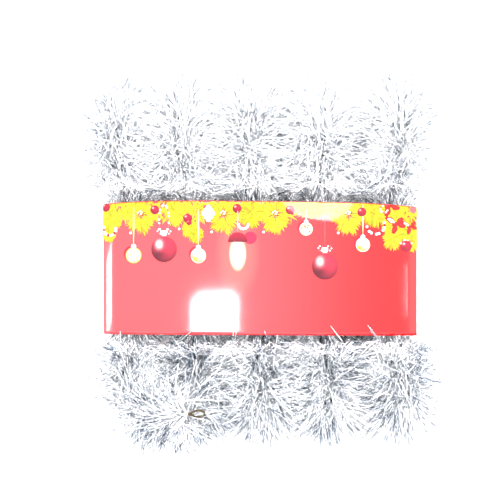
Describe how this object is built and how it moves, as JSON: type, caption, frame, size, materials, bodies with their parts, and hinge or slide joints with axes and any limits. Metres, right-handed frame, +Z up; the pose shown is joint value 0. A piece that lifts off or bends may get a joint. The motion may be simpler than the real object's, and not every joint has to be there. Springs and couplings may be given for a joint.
{
  "type": "tinsel garland hank",
  "caption": "Silver tinsel garland on a twisted wire core, wound into a flat hank and held by a printed card band.",
  "frame": {"origin": "under the middle of the hank, on the surface that it lies on", "axes": "+X across the hank along the band, +Y along the runs of garland towards the end away from the front eye, +Z up through the thickness, from the glued back of the band to its printed front"},
  "size_m": [0.2638, 0.27, 0.0969],
  "materials": {
    "tinsel_film": "polished",
    "core_wire": "satin",
    "band_card": "gloss",
    "glue": "satin"
  },
  "bodies": {
    "hank": {"core_wire": "core_wire", "wire_eye_front": "core_wire", "wire_eye_tucked": "core_wire", "fringe_front_run_1": "tinsel_film", "fringe_front_run_2": "tinsel_film", "fringe_front_run_3": "tinsel_film", "fringe_front_run_4": "tinsel_film", "fringe_front_run_5": "tinsel_film", "fringe_top_turn_1": "tinsel_film", "fringe_top_turn_2": "tinsel_film", "fringe_top_turn_3": "tinsel_film", "fringe_top_turn_4": "tinsel_film", "fringe_top_turn_5": "tinsel_film", "fringe_back_run_1": "tinsel_film", "fringe_back_run_2": "tinsel_film", "fringe_back_run_3": "tinsel_film", "fringe_back_run_4": "tinsel_film", "fringe_back_run_5": "tinsel_film", "fringe_bottom_turn_1": "tinsel_film", "fringe_bottom_turn_2": "tinsel_film", "fringe_bottom_turn_3": "tinsel_film", "fringe_bottom_turn_4": "tinsel_film"},
    "band": {"band_sleeve": "band_card", "band_glue_strip": "glue"}
  },
  "joints": [
    {"name": "band_slide", "type": "slide", "parent": "hank", "child": "band", "axis": [0, 1, 0], "range_m": [-0.008, 0.008]}
  ]
}
